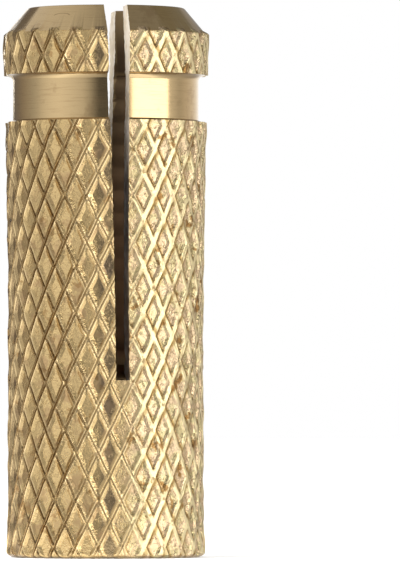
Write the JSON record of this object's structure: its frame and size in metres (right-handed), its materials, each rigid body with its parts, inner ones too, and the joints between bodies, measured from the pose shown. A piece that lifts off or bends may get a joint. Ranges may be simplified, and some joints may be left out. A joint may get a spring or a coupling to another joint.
{
  "type": "drop-in anchor",
  "caption": "Knurled brass expansion anchor: an internally threaded sleeve with a slotted, coned end that spreads in a drilled hole when a bolt is driven in.",
  "frame": {"origin": "centre of the mouth's flat end face, where the threaded bore opens", "axes": "+Z along the bore from the mouth to the slotted tip; the slots lie on the X and Y directions"},
  "size_m": [0.0158, 0.0157, 0.042],
  "materials": {
    "brass": "turned and knurled, lightly tarnished, satin"
  },
  "bodies": {
    "root": {"anchor_body": "brass"}
  },
  "joints": []
}
